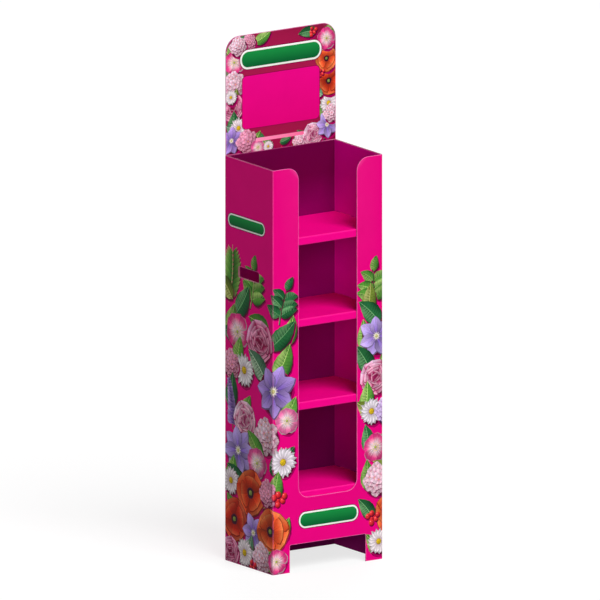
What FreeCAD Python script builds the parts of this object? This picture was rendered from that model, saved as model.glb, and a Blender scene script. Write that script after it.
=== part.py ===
import FreeCAD, Part
import math
import os

import Sketcher

# A floor display stand of corrugated board. It stands on z = 0 with its front towards -Y, and
# the origin is under the middle of its outline.

document = FreeCAD.newDocument("display_stand")

# Driving sizes, in millimetres: a name, its value and what it measures
SIZES = [
    ("width", 400, "over the two side panels"),
    ("depth", 256, "over the front and back panels"),
    ("body_height", 1247, "floor to the top of the side panels"),
    ("board", 3, "thickness of the corrugated board"),
    ("crease", 0.8, "inside radius of a fold"),
    ("play", 0.3, "room between two sheets that slide together"),
    ("glue_flap", 35, "glue flap from the back right corner"),
    ("flap_reveal", 1, "back panel's raw edge to the start of the last fold"),
    ("flange_width", 94, "front flange beside the window"),
    ("flange_corner", 40, "round at the top of a front flange"),
    ("apron_top", 226, "floor to the window's lower edge"),
    ("window_corner", 36, "round in the window's lower corners"),
    ("foot_width", 62, "front foot beside the arch"),
    ("arch_height", 85, "floor to the top of the arch"),
    ("arch_corner", 4, "round in the arch's upper corners"),
    ("hold_length", 108, "hand hole, front to back"),
    ("hold_height", 33, "hand hole, bottom to top"),
    ("hold_corner", 6, "round in the hand hole's corners"),
    ("hold_level", 903, "floor to the middle of the hand hole"),
    ("top_level", 1028, "floor to the top shelf's deck"),
    ("middle_level", 776, "floor to the middle shelf's deck"),
    ("lower_level", 520, "floor to the lower shelf's deck"),
    ("base_level", 244, "floor to the base deck"),
    ("lip_height", 25, "shelf's front lip"),
    ("roll_depth", 22, "shelf's rolled front, front to back"),
    ("shelf_flange", 22, "shelf's side and back flanges"),
    ("tab_length", 55, "shelf tab, front to back"),
    ("tab_spacing", 120, "between the middles of a side's two tabs"),
    ("tab_relief", 2, "cut beside a tab and between flanges"),
    ("header_height", 363, "header above the side panels"),
    ("header_corner", 48, "round in the header's upper corners"),
    ("tongue_width", 300, "header's tongue"),
    ("tongue_depth", 150, "header's tongue below the side panels' top"),
    ("tongue_corner", 14, "round in the tongue's lower corners"),
    ("overrun", 10, "how far a cut runs past an edge"),
]

sheet = document.addObject("Spreadsheet::Sheet", "sizes")
for row, (alias, size, meaning) in enumerate(SIZES, start=1):
    sheet.set(f"A{row}", meaning)
    sheet.set(f"B{row}", str(size))
    sheet.setAlias(f"B{row}", alias)
document.recompute()


# Sketches and features shared by the sheets

def number(expression):
    """The present value of an expression of the sizes."""
    return float(sheet.evalExpression(expression))


def bind(sketch, constraint, expression):
    """Adds a constraint whose value follows an expression."""
    index = sketch.addConstraint(constraint)
    sketch.setExpression(f"Constraints[{index}]", expression)


def round_corner(sketch, before, after, spot, arrive, leave, radius):
    """Joins two lines by an arc that is tangent to both."""
    reach = number(radius)
    start = spot - arrive * reach
    end = spot + leave * reach
    centre = start + leave * reach
    turns_left = arrive.cross(leave).z > 0
    first, last = (start, end) if turns_left else (end, start)
    low, high = (math.atan2(p.y - centre.y, p.x - centre.x) for p in (first, last))
    if high < low:
        high += 2 * math.pi
    circle = Part.Circle(centre, FreeCAD.Vector(0, 0, 1), reach)
    arc = sketch.addGeometry(Part.ArcOfCircle(circle, low, high))
    near, far = (1, 2) if turns_left else (2, 1)
    sketch.addConstraint(Sketcher.Constraint("Tangent", before, 2, arc, near))
    sketch.addConstraint(Sketcher.Constraint("Tangent", arc, far, after, 1))
    bind(sketch, Sketcher.Constraint("Radius", arc, reach), radius)


def outline(sketch, corners):
    """Draws a closed outline of level and upright lines. A corner is (x, y), or (x, y, radius)
    where it is rounded, and each value is an expression of the sizes."""
    count = len(corners)
    spots = [FreeCAD.Vector(number(corner[0]), number(corner[1]), 0) for corner in corners]
    reaches = [number(corner[2]) if len(corner) == 3 else 0 for corner in corners]
    ways = []
    lines = []
    for i in range(count):
        following = (i + 1) % count
        way = (spots[following] - spots[i]).normalize()
        start = spots[i] + way * reaches[i]
        end = spots[following] - way * reaches[following]
        line = sketch.addGeometry(Part.LineSegment(start, end))
        if abs(way.y) < abs(way.x):
            sketch.addConstraint(Sketcher.Constraint("Horizontal", line))
            level = Sketcher.Constraint("DistanceY", -1, 1, line, 1, spots[i].y)
            bind(sketch, level, corners[i][1])
        else:
            sketch.addConstraint(Sketcher.Constraint("Vertical", line))
            level = Sketcher.Constraint("DistanceX", -1, 1, line, 1, spots[i].x)
            bind(sketch, level, corners[i][0])
        ways.append(way)
        lines.append(line)
    for i, corner in enumerate(corners):
        if len(corner) == 3:
            round_corner(sketch, lines[i - 1], lines[i], spots[i], ways[i - 1], ways[i], corner[2])
        else:
            sketch.addConstraint(Sketcher.Constraint("Coincident", lines[i - 1], 2, lines[i], 1))


def box_corners(left, right, low, high, radius=None):
    """Corners of a rectangle, all sharp or all rounded alike."""
    corners = [(left, low), (right, low), (right, high), (left, high)]
    return corners if radius is None else [corner + (radius,) for corner in corners]


def new_body(label):
    body = document.addObject("PartDesign::Body", label)
    body.Label = label
    return body


def new_sketch(body, name, plane, *outlines):
    """A sketch on one of the body's own origin planes, with one or more outlines."""
    sketch = body.newObject("Sketcher::SketchObject", name + "_sketch")
    origin = next(item for item in body.Origin.OriginFeatures if item.Role == plane)
    sketch.AttachmentSupport = [(origin, "")]
    sketch.MapMode = "FlatFace"
    for corners in outlines:
        outline(sketch, corners)
    return sketch


def extrude(kind, body, name, sketch, length, side="One side", back=None, reverse=False):
    """A Pad or Pocket whose length follows an expression."""
    feature = body.newObject("PartDesign::" + kind, name)
    feature.Profile = sketch
    feature.SideType = side
    feature.Reversed = reverse
    feature.setExpression("Length", length)
    if back is not None:
        feature.setExpression("Length2", back)
    document.recompute()


def pad(body, name, sketch, length, **options):
    extrude("Pad", body, name, sketch, length, **options)


def pocket(body, name, sketch, length, **options):
    """A Pocket, checked to have removed material."""
    before = body.Shape.Volume
    extrude("Pocket", body, name, sketch, length, **options)
    if before - body.Shape.Volume < 1:
        raise RuntimeError(f"{name} of {body.Label} cuts nothing")


# Planes that the sheets share, worked out from the sizes
SHELL_SIDE = "(sizes.width / 2)"
SHELL_FACE = "(sizes.depth / 2)"
OUTER_FOLD = "(sizes.board + sizes.crease)"
INNER_FOLD = "sizes.crease"
LINER_SIDE = f"({SHELL_SIDE} - sizes.board - sizes.play)"
LINER_FRONT = f"(-{SHELL_FACE} + sizes.board + sizes.play)"
HEADER_BACK = f"({SHELL_FACE} - sizes.board - sizes.play)"
LINER_BACK = f"({HEADER_BACK} - sizes.board - sizes.play)"
SHELF_SIDE = f"({LINER_SIDE} - sizes.board - sizes.play)"
SHELF_BACK = f"({LINER_BACK} - sizes.board - sizes.play)"
# A shelf is drawn with its deck's top on the level of its own origin
DECK_TOP = "0"
# The hand hole goes through the left side of the shell and of the liner
HOLD_OUTLINE = box_corners(
    "-sizes.hold_length / 2", "sizes.hold_length / 2",
    "sizes.hold_level - sizes.hold_height / 2", "sizes.hold_level + sizes.hold_height / 2",
    "sizes.hold_corner",
)
SHELF_LEVELS = {
    "top_shelf": "sizes.top_level",
    "middle_shelf": "sizes.middle_level",
    "lower_shelf": "sizes.lower_level",
    "base_deck": "sizes.base_level",
}
# Each side has two tabs, one on each side of the middle
TAB_MIDDLES = ("-sizes.tab_spacing / 2", "sizes.tab_spacing / 2")


def make_shell():
    """The printed wrap: one sheet creased round the four corners. Its last panel is a flap,
    glued inside the back panel's raw edge."""
    body = new_body("outer_shell")
    lap = f"({SHELL_FACE} - sizes.board)"
    raw_edge = f"{SHELL_SIDE} - {OUTER_FOLD} - sizes.flap_reveal"
    flap_end = f"{SHELL_SIDE} - sizes.glue_flap"
    inside = f"({SHELL_SIDE} - sizes.board)"
    front_inside = f"-({SHELL_FACE} - sizes.board)"
    outside_line = [
        (f"-{SHELL_SIDE}", f"-{SHELL_FACE}", OUTER_FOLD),
        (SHELL_SIDE, f"-{SHELL_FACE}", OUTER_FOLD),
        (SHELL_SIDE, lap, OUTER_FOLD),
        (raw_edge, lap),
        (raw_edge, SHELL_FACE),
        (f"-{SHELL_SIDE}", SHELL_FACE, OUTER_FOLD),
    ]
    inside_line = [
        (f"-{inside}", front_inside, INNER_FOLD),
        (inside, front_inside, INNER_FOLD),
        (inside, f"{lap} - sizes.board", INNER_FOLD),
        (flap_end, f"{lap} - sizes.board"),
        (flap_end, lap),
        (f"-{inside}", lap, INNER_FOLD),
    ]
    wrap = new_sketch(body, "wrap", "XY_Plane", outside_line, inside_line)
    pad(body, "wrap", wrap, "sizes.body_height")

    flange_edge = f"({SHELL_SIDE} - sizes.flange_width)"
    above = "sizes.body_height + sizes.overrun"
    window = [
        (f"-{flange_edge}", above),
        (f"-{flange_edge}", "sizes.apron_top", "sizes.window_corner"),
        (flange_edge, "sizes.apron_top", "sizes.window_corner"),
        (flange_edge, above),
    ]
    arch_edge = f"({SHELL_SIDE} - sizes.foot_width)"
    arch = [
        (f"-{arch_edge}", "-sizes.overrun"),
        (arch_edge, "-sizes.overrun"),
        (arch_edge, "sizes.arch_height", "sizes.arch_corner"),
        (f"-{arch_edge}", "sizes.arch_height", "sizes.arch_corner"),
    ]
    front_cuts = new_sketch(body, "front_cuts", "XZ_Plane", window, arch)
    pocket(body, "front_cuts", front_cuts, "sizes.depth", reverse=True)

    hold = new_sketch(body, "hand_hole", "YZ_Plane", HOLD_OUTLINE)
    pocket(body, "hand_hole", hold, "sizes.width")

    # The edge at the inner end of each flange's top, front to back
    base = body.Tip
    edge_x, edge_z = number(flange_edge), number("sizes.body_height")
    names = [
        f"Edge{index}"
        for index, edge in enumerate(base.Shape.Edges, start=1)
        if all(math.isclose(abs(v.X), edge_x) and math.isclose(v.Z, edge_z) for v in edge.Vertexes)
    ]
    rounds = body.newObject("PartDesign::Fillet", "flange_rounds")
    rounds.Base = (base, names)
    rounds.setExpression("Radius", "sizes.flange_corner")
    document.recompute()
    return body


def make_liner():
    """The U-shaped liner, glued inside the side panels. It carries the shelves: each tab goes
    through a slot, and the board below the slot holds it."""
    body = new_body("inner_liner")
    inside = f"({LINER_SIDE} - sizes.board)"
    section = [
        (f"-{LINER_SIDE}", LINER_FRONT),
        (f"-{inside}", LINER_FRONT),
        (f"-{inside}", f"{LINER_BACK} - sizes.board", INNER_FOLD),
        (inside, f"{LINER_BACK} - sizes.board", INNER_FOLD),
        (inside, LINER_FRONT),
        (LINER_SIDE, LINER_FRONT),
        (LINER_SIDE, LINER_BACK, OUTER_FOLD),
        (f"-{LINER_SIDE}", LINER_BACK, OUTER_FOLD),
    ]
    walls = new_sketch(body, "walls", "XY_Plane", section)
    pad(body, "walls", walls, "sizes.body_height")

    half = "(sizes.tab_length / 2 + sizes.play)"
    slots = [
        box_corners(f"{middle} - {half}", f"{middle} + {half}",
                    f"{level} - sizes.board", f"{level} + sizes.play")
        for level in SHELF_LEVELS.values()
        for middle in TAB_MIDDLES
    ]
    pocket(body, "slots", new_sketch(body, "slots", "YZ_Plane", *slots), "sizes.width",
           side="Symmetric")
    hold = new_sketch(body, "hand_hole", "YZ_Plane", HOLD_OUTLINE)
    pocket(body, "hand_hole", hold, "sizes.width")
    return body


def make_shelf(label, level):
    """A folded tray, drawn with its deck's top at z = 0. The front lip is rolled under itself
    into a beam, the sides and back are turned down, and each side has two tabs."""
    body = new_body(label)
    body.setExpression(".Placement.Base.z", level)
    low = "-sizes.shelf_flange"
    roll_back = f"({LINER_FRONT} + sizes.roll_depth)"
    deck_front = f"({roll_back} + sizes.tab_relief)"
    fold_line = f"({SHELF_SIDE} - {OUTER_FOLD})"

    roll = [
        (deck_front, DECK_TOP),
        (LINER_FRONT, DECK_TOP, OUTER_FOLD),
        (LINER_FRONT, "-sizes.lip_height", OUTER_FOLD),
        (roll_back, "-sizes.lip_height", OUTER_FOLD),
        (roll_back, "-sizes.board - sizes.play"),
        (f"{roll_back} - sizes.board", "-sizes.board - sizes.play"),
        (f"{roll_back} - sizes.board", "-sizes.lip_height + sizes.board", INNER_FOLD),
        (f"{LINER_FRONT} + sizes.board", "-sizes.lip_height + sizes.board", INNER_FOLD),
        (f"{LINER_FRONT} + sizes.board", "-sizes.board", INNER_FOLD),
        (deck_front, "-sizes.board"),
    ]
    front = new_sketch(body, "rolled_front", "YZ_Plane", roll)
    pad(body, "rolled_front", front, f"2 * {SHELF_SIDE}", side="Symmetric")

    tray = [
        (deck_front, DECK_TOP),
        (deck_front, "-sizes.board"),
        (f"{SHELF_BACK} - sizes.board", "-sizes.board", INNER_FOLD),
        (f"{SHELF_BACK} - sizes.board", low),
        (SHELF_BACK, low),
        (SHELF_BACK, DECK_TOP, OUTER_FOLD),
    ]
    deck = new_sketch(body, "deck", "YZ_Plane", tray)
    pad(body, "deck", deck, f"2 * {fold_line}", side="Symmetric")

    lap = f"({fold_line} - sizes.tab_relief)"
    flanges = [
        [
            (f"{way} * {lap}", DECK_TOP),
            (f"{way} * {SHELF_SIDE}", DECK_TOP, OUTER_FOLD),
            (f"{way} * {SHELF_SIDE}", low),
            (f"{way} * ({SHELF_SIDE} - sizes.board)", low),
            (f"{way} * ({SHELF_SIDE} - sizes.board)", "-sizes.board", INNER_FOLD),
            (f"{way} * {lap}", "-sizes.board"),
        ]
        for way in (-1, 1)
    ]
    sides = new_sketch(body, "side_flanges", "XZ_Plane", *flanges)
    pad(body, "side_flanges", sides, f"-{deck_front}", side="Two sides",
        back=f"{SHELF_BACK} - {OUTER_FOLD} - sizes.tab_relief")

    reach = "(sizes.tab_length / 2 + sizes.tab_relief)"
    gaps = [
        box_corners(f"{way} * {fold_line}", f"{way} * ({SHELF_SIDE} + sizes.overrun)",
                    f"{middle} - {reach}", f"{middle} + {reach}")
        for way in (-1, 1)
        for middle in TAB_MIDDLES
    ]
    cuts = new_sketch(body, "tab_cuts", "XY_Plane", *gaps)
    pocket(body, "tab_cuts", cuts, "2 * sizes.shelf_flange", side="Symmetric")

    tabs = [
        box_corners(f"{way} * {lap}", f"{way} * {LINER_SIDE}",
                    f"{middle} - sizes.tab_length / 2", f"{middle} + sizes.tab_length / 2")
        for way in (-1, 1)
        for middle in TAB_MIDDLES
    ]
    tab_sketch = new_sketch(body, "tabs", "XY_Plane", *tabs)
    pad(body, "tabs", tab_sketch, "sizes.board", reverse=True)
    return body


def make_header():
    """The printed header card. Its shoulders rest on the side panels, and its tongue goes down
    between the liner and the back panel."""
    body = new_body("header_card")
    body.setExpression(".Placement.Base.y", HEADER_BACK)
    crown = "sizes.body_height + sizes.header_height"
    toe = "sizes.body_height - sizes.tongue_depth"
    tongue_side = "(sizes.tongue_width / 2)"
    card = [
        (f"-{SHELL_SIDE}", "sizes.body_height"),
        (f"-{tongue_side}", "sizes.body_height"),
        (f"-{tongue_side}", toe, "sizes.tongue_corner"),
        (tongue_side, toe, "sizes.tongue_corner"),
        (tongue_side, "sizes.body_height"),
        (SHELL_SIDE, "sizes.body_height"),
        (SHELL_SIDE, crown, "sizes.header_corner"),
        (f"-{SHELL_SIDE}", crown, "sizes.header_corner"),
    ]
    pad(body, "card", new_sketch(body, "card", "XZ_Plane", card), "sizes.board")
    return body


pieces = [make_shell(), make_liner()]
pieces += [make_shelf(label, level) for label, level in SHELF_LEVELS.items()]
pieces.append(make_header())
document.recompute()

# Nothing is written unless every object is sound
failed = [item.Name for item in document.Objects if {"Invalid", "Error"} & set(item.State)]
if failed:
    raise RuntimeError(f"failed objects: {failed}")
for piece in pieces:
    if piece.Shape.isNull() or not piece.Shape.isValid() or len(piece.Shape.Solids) != 1:
        raise RuntimeError(f"{piece.Label} is not one valid solid")

os.makedirs("parts", exist_ok=True)
for piece in pieces:
    piece.Shape.exportStep(f"parts/{piece.Label}.step")
    box = piece.Shape.BoundBox
    print(f"{piece.Label}: {piece.Shape.Volume / 1000:.1f} cm3, x {box.XMin:.2f} to {box.XMax:.2f}, "
          f"y {box.YMin:.2f} to {box.YMax:.2f}, z {box.ZMin:.2f} to {box.ZMax:.2f}")
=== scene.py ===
import math
import random

import bpy
import numpy as np
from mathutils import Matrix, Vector
from mathutils.geometry import delaunay_2d_cdt


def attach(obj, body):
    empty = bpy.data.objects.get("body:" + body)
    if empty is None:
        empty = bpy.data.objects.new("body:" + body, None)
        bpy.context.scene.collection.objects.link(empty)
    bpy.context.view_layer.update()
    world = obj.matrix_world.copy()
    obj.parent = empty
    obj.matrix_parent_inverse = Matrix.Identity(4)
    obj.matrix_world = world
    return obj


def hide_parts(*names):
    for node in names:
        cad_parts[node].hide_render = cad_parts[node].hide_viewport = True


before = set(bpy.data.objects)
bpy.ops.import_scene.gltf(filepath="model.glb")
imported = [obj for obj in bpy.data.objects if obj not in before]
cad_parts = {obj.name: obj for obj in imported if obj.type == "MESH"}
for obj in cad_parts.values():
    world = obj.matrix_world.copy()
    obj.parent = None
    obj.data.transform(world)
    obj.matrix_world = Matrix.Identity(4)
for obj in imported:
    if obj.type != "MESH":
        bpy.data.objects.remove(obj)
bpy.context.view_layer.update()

# The printed wrap. The real piece is one die-cut sheet of 3 mm corrugated board, printed on its
# outside, creased round the four corners and closed by a glue flap inside the back right corner.

BOARD = 3.0
FOLD = 3.8
FOLD_LENGTH = math.pi / 2 * FOLD
BODY_HEIGHT = 1247.0
CRUSHED_BAND = 1.6
CRUSHED_DEPTH = 0.35
FOLD_STEPS = 6
FLUTE_PITCH = 6.5
SNAP = 0.004


def cut_line(corners, inset=0.0):
    """The line that a die cuts, with the sheet on its left. A corner is (u, v, round)."""
    line = []
    for i, (u, v, reach) in enumerate(corners):
        before = corners[i - 1]
        after = corners[(i + 1) % len(corners)]
        arrive = Vector((u - before[0], v - before[1])).normalized()
        leave = Vector((after[0] - u, after[1] - v)).normalized()
        turn = 1 if arrive.x * leave.y - arrive.y * leave.x > 0 else -1
        spot = Vector((u - inset * (arrive.y + leave.y), v + inset * (arrive.x + leave.x)))
        if reach:
            reach = max(reach - turn * inset, 0.05)
        if not reach:
            line.append((spot.x, spot.y))
            continue
        centre = spot - arrive * reach + leave * reach
        steps = 3 + int(reach / 4)
        for step in range(steps + 1):
            sweep = math.pi / 2 * step / steps
            spoke = arrive * math.sin(sweep) - leave * math.cos(sweep)
            line.append((centre.x + spoke.x * reach, centre.y + spoke.y * reach))
    return line


def fold_round(start, heading, *flats):
    """The spans of a sheet's outer face: flat panels with a quarter fold to the left after each."""
    spans = []
    u = 0.0
    x, y = start
    angle = math.radians(heading)
    for i, length in enumerate(flats):
        if i:
            spans.append((u, FOLD_LENGTH, x, y, angle, True))
            x += FOLD * (math.cos(angle) - math.sin(angle))
            y += FOLD * (math.sin(angle) + math.cos(angle))
            u += FOLD_LENGTH
            angle += math.pi / 2
        spans.append((u, length, x, y, angle, False))
        x += length * math.cos(angle)
        y += length * math.sin(angle)
        u += length
    return spans


def follow(spans, u, depth):
    """Where points of the sheet lie once it is folded, and which way its outer face looks there."""
    x, y, out_x, out_y = (np.zeros_like(u) for _ in range(4))
    u = np.clip(u, 0.0, spans[-1][0] + spans[-1][1])
    for start, length, left, low, angle, bent in spans:
        here = (u >= start - 0.001) & (u <= start + length + 0.001)
        along = u[here] - start
        turned = angle + along / FOLD if bent else np.full_like(along, angle)
        out_x[here] = np.sin(turned)
        out_y[here] = -np.cos(turned)
        if bent:
            x[here] = left - math.sin(angle) * FOLD + out_x[here] * (FOLD - depth[here])
            y[here] = low + math.cos(angle) * FOLD + out_y[here] * (FOLD - depth[here])
        else:
            x[here] = left + math.cos(angle) * along - out_x[here] * depth[here]
            y[here] = low + math.sin(angle) * along - out_y[here] * depth[here]
    return x, y, out_x, out_y


def upright(spans):
    """A sheet folded about upright creases: its lengths run round the stand, its heights go up."""
    def place(u, v, depth):
        x, y, out_x, out_y = follow(spans, u, depth)
        return np.stack([x, y, v], axis=1), np.stack([out_x, out_y, np.zeros_like(u)], axis=1)
    return place


def within(line, points):
    """Which of the points lie inside a closed line."""
    inside = np.zeros(len(points), bool)
    line = np.asarray(line)
    following = np.roll(line, -1, axis=0)
    for (x0, y0), (x1, y1) in zip(line, following):
        if y0 == y1:
            continue
        crossing = (points[:, 1] > y0) != (points[:, 1] > y1)
        at = x0 + (points[:, 1] - y0) * (x1 - x0) / (y1 - y0)
        inside ^= crossing & (points[:, 0] < at)
    return inside


def distance_to(lines, points, limit):
    """The distance from each point to the nearest of the cut lines, up to a limit."""
    nearest = np.full(len(points), limit)
    for line in lines:
        line = np.asarray(line)
        for first, second in zip(line, np.roll(line, -1, axis=0)):
            low = np.minimum(first, second) - limit
            high = np.maximum(first, second) + limit
            near = np.nonzero(np.all((points >= low) & (points <= high), axis=1))[0]
            run = second - first
            share = np.clip((points[near] - first) @ run / max(run @ run, 1e-9), 0, 1)
            gap = np.linalg.norm(points[near] - first - share[:, None] * run, axis=1)
            nearest[near] = np.minimum(nearest[near], gap)
    return nearest


def triangulate(loops, edges, lines):
    """Triangles between the edges, kept where they are in the first loop and in no other."""
    points = []
    links = []
    for loop in lines:
        base = len(points)
        points += [Vector(p) for p in loop]
        links += [(base + i, base + (i + 1) % len(loop)) for i in range(len(loop))]
    for first, second in edges:
        points += [Vector(first), Vector(second)]
        links.append((len(points) - 2, len(points) - 1))
    out = delaunay_2d_cdt(points, links, [], 0, SNAP)
    spots = np.array([tuple(p) for p in out[0]], dtype=float)
    corners = np.array([tuple(f) for f in out[2]], dtype=int)
    a, b, c = (spots[corners[:, k]] for k in range(3))
    turn = (b[:, 0] - a[:, 0]) * (c[:, 1] - a[:, 1]) - (b[:, 1] - a[:, 1]) * (c[:, 0] - a[:, 0])
    corners[turn < 0] = corners[turn < 0][:, ::-1]
    middles = (a + b + c) / 3
    kept = within(loops[0], middles) & (np.abs(turn) > 1e-7)
    for hole in loops[1:]:
        kept &= ~within(hole, middles)
    used, corners = np.unique(corners[kept], return_inverse=True)
    return spots[used], corners.reshape(-1, 3), [out[3][spot] for spot in used]


def sides_in_sight(art):
    """The printed shapes' sides, without those that a later shape covers from end to end."""
    starts = np.concatenate([shape[0] for shape in art])
    ends = np.concatenate([np.roll(shape[0], -1, axis=0) for shape in art])
    owner = np.repeat(np.arange(len(art)), [len(shape[0]) for shape in art])
    middles = (starts + ends) / 2
    order = np.argsort(middles[:, 0])
    across = middles[order, 0]
    hidden = np.zeros(len(starts), bool)
    for number, (outline, *_) in enumerate(art):
        lowest, highest = outline.min(axis=0), outline.max(axis=0)
        first, last = np.searchsorted(across, [lowest[0], highest[0]])
        near = order[first:last]
        near = near[(owner[near] < number) & ~hidden[near]]
        near = near[(middles[near, 1] > lowest[1]) & (middles[near, 1] < highest[1])]
        for points in (middles, starts, ends):
            near = near[within(outline, points[near])]
        hidden[near] = True
    return list(zip(starts[~hidden].tolist(), ends[~hidden].tolist()))


def raw_edges(corners):
    """The sides that only one triangle has, in the direction in which it has them."""
    sides = np.concatenate([corners[:, [0, 1]], corners[:, [1, 2]], corners[:, [2, 0]]])
    owners = {}
    for a, b in sides.tolist():
        owners[(a, b)] = (b, a)
    return [side for side, other in owners.items() if other not in owners]


def linear(ink):
    """A printing ink, given as red, green and blue up to 255, as scene light."""
    return [((c / 255 + 0.055) / 1.055) ** 2.4 if c > 10 else c / 255 / 12.92 for c in ink]


MAGENTA = (232, 3, 125)


def make_sheet(name, place, spans, blank, holes=(), art=(), printed_inside=False, ground=MAGENTA,
               creases=None, materials=()):
    """Cuts, prints and folds one sheet. The blank and its holes are corners in the flat sheet, and
    the art is a list of printed shapes, each drawn over those before it. Creases are further lines
    along which the sheet is divided."""
    loops = [cut_line(blank)] + [cut_line(hole) for hole in holes]
    bands = [cut_line(loop, CRUSHED_BAND) for loop in (blank, *holes)]
    low = min(p[1] for p in loops[0]) - 5
    high = max(p[1] for p in loops[0]) + 5
    bends = [start for start, _, _, _, _, bent in spans if bent]
    stations = [start + FOLD_LENGTH * k / FOLD_STEPS for start in bends for k in range(FOLD_STEPS + 1)]
    folds = [((u, low), (u, high)) for u in stations] + list(creases or ())
    sides = sides_in_sight(art) if art else []

    front, front_faces, _ = triangulate(loops, folds + sides, loops + bands)
    rim = raw_edges(front_faces)
    rim_edges = [(tuple(front[a]), tuple(front[b])) for a, b in rim]
    back, back_faces, sources = triangulate(loops, rim_edges + folds, bands)
    base = sum(len(band) for band in bands)
    twin = {}
    for spot, origins in enumerate(sources):
        for origin in origins:
            if base <= origin < base + 2 * len(rim):
                pair = rim[(origin - base) // 2]
                twin[pair[(origin - base) % 2]] = spot

    flat = np.concatenate([front, back])
    # The edge and fold profiles mark where ink is worn thin, and also where a painted highlight lies along
    # cut edges and fold crests
    edge_crush_and_highlight = 1 - distance_to(loops, flat, CRUSHED_BAND) / CRUSHED_BAND
    crushed = CRUSHED_DEPTH * edge_crush_and_highlight
    depth = np.concatenate([crushed[:len(front)], BOARD - crushed[len(front):]])
    fold_wear_and_highlight = np.zeros(len(flat))
    for start in bends:
        share = np.clip((flat[:, 0] - start) / FOLD_LENGTH, 0, 1)
        fold_wear_and_highlight = np.maximum(fold_wear_and_highlight, np.sin(math.pi * share))
    spots, outward = place(flat[:, 0], flat[:, 1], depth)

    count = len(front)
    faces = front_faces.tolist()
    faces += (back_faces[:, ::-1] + count).tolist()
    faces += [[b, a, count + twin[a], count + twin[b]] for a, b in rim]
    mesh = bpy.data.meshes.new(name)
    mesh.from_pydata((spots * 0.001).tolist(), [], faces)
    sheet = mesh.attributes.new("sheet", "FLOAT_VECTOR", "POINT")
    sheet.data.foreach_set("vector", np.column_stack([flat, depth]).astype(np.float32).ravel())
    wear_and_highlight = mesh.attributes.new("wear_and_highlight", "FLOAT_VECTOR", "POINT")
    wear_and_highlight_values = np.column_stack([edge_crush_and_highlight, fold_wear_and_highlight, np.zeros(len(flat))])
    wear_and_highlight.data.foreach_set("vector", wear_and_highlight_values.astype(np.float32).ravel())

    # Each triangle of the printed face takes the ink of the last shape that covers it
    printed, start = (back, len(front_faces)) if printed_inside else (front, 0)
    printed_faces = back_faces if printed_inside else front_faces
    colours = np.zeros((3 * (len(front_faces) + len(back_faces)) + 4 * len(rim), 4), np.float32)
    colours[:, :3] = linear(ground)
    corner_spots = printed[printed_faces]
    middles = corner_spots.mean(axis=1)
    shades = np.tile(np.array(linear(ground) + [0.0]), (len(printed_faces), 3, 1))
    order = np.argsort(middles[:, 0])
    across = middles[order, 0]
    for outline, origin, reach, inks in art:
        lowest, highest = outline.min(axis=0), outline.max(axis=0)
        first, last = np.searchsorted(across, [lowest[0], highest[0]])
        near = order[first:last]
        near = near[(middles[near, 1] >= lowest[1]) & (middles[near, 1] <= highest[1])]
        near = near[within(outline, middles[near])]
        offset = corner_spots[near] - origin
        if np.ndim(reach):
            share = offset @ reach / (reach @ reach)
        else:
            share = np.linalg.norm(offset, axis=2) / reach
        share = np.clip(share, 0, 1) * (len(inks) - 1)
        stop = np.minimum(share.astype(int), len(inks) - 2)
        part = (share - stop)[..., None]
        shades[near] = inks[stop] * (1 - part) + inks[stop + 1] * part
    if printed_inside:
        shades = shades[:, ::-1]
    colours[3 * start:3 * (start + len(printed_faces))] = shades.reshape(-1, 4)
    inks = mesh.attributes.new("print", "FLOAT_COLOR", "CORNER")
    inks.data.foreach_set("color", colours.ravel())

    # Folds are shaded round, crushed bands and cut edges by the way each face looks
    normals = np.zeros((len(colours), 3))
    skins = np.concatenate([front_faces, back_faces[:, ::-1] + count])
    corner_normals = outward[skins]
    corner_normals[len(front_faces):] *= -1
    a, b, c = (spots[skins[:, k]] for k in range(3))
    flat_normals = np.cross(b - a, c - a)
    flat_normals /= np.maximum(np.linalg.norm(flat_normals, axis=1, keepdims=True), 1e-12)
    crushed_face = (edge_crush_and_highlight[skins].max(axis=1) > 0.02) & (fold_wear_and_highlight[skins].max(axis=1) < 0.02)
    corner_normals[crushed_face] = flat_normals[crushed_face][:, None]
    normals[:3 * len(skins)] = corner_normals.reshape(-1, 3)
    for i, (a, b) in enumerate(rim):
        side = np.cross(spots[a] - spots[b], spots[count + twin[a]] - spots[a])
        at = 3 * len(skins) + 4 * i
        normals[at:at + 4] = side / max(np.linalg.norm(side), 1e-12)
    mesh.polygons.foreach_set("use_smooth", [True] * len(faces))
    mesh.normals_split_custom_set(normals.tolist())

    outside, inside = (1, 0) if printed_inside else (0, 1)
    kinds = [outside] * len(front_faces) + [inside] * len(back_faces) + [2] * len(rim)
    for material in materials:
        mesh.materials.append(material)
    mesh.polygons.foreach_set("material_index", kinds)
    mesh.update()
    piece = bpy.data.objects.new(name, mesh)
    bpy.context.scene.collection.objects.link(piece)
    print(f"{name}: {len(mesh.polygons)} faces, {len(art)} shapes")
    return piece


# Nodes for the board's materials

def node(tree, kind, inputs=None, **settings):
    """A node, with its settings and with values or other nodes' outputs on its inputs."""
    made = tree.nodes.new(kind)
    for setting, value in settings.items():
        setattr(made, setting, value)
    for socket, value in (inputs or {}).items():
        if isinstance(value, bpy.types.NodeSocket):
            tree.links.new(value, made.inputs[socket])
        else:
            made.inputs[socket].default_value = value
    return made


def sum_of(tree, operation, first, second=0.0, third=0.0, clamp=False):
    made = node(tree, "ShaderNodeMath", {0: first, 1: second, 2: third}, operation=operation)
    made.use_clamp = clamp
    return made.outputs[0]


def blend(tree, share, first, second, mode="MIX"):
    made = node(tree, "ShaderNodeMix", data_type="RGBA", blend_type=mode)
    for socket, value in (("Factor_Float", share), ("A_Color", first), ("B_Color", second)):
        target = next(s for s in made.inputs if s.identifier == socket)
        if isinstance(value, bpy.types.NodeSocket):
            tree.links.new(value, target)
        else:
            target.default_value = value
    return next(s for s in made.outputs if s.identifier == "Result_Color")


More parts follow.
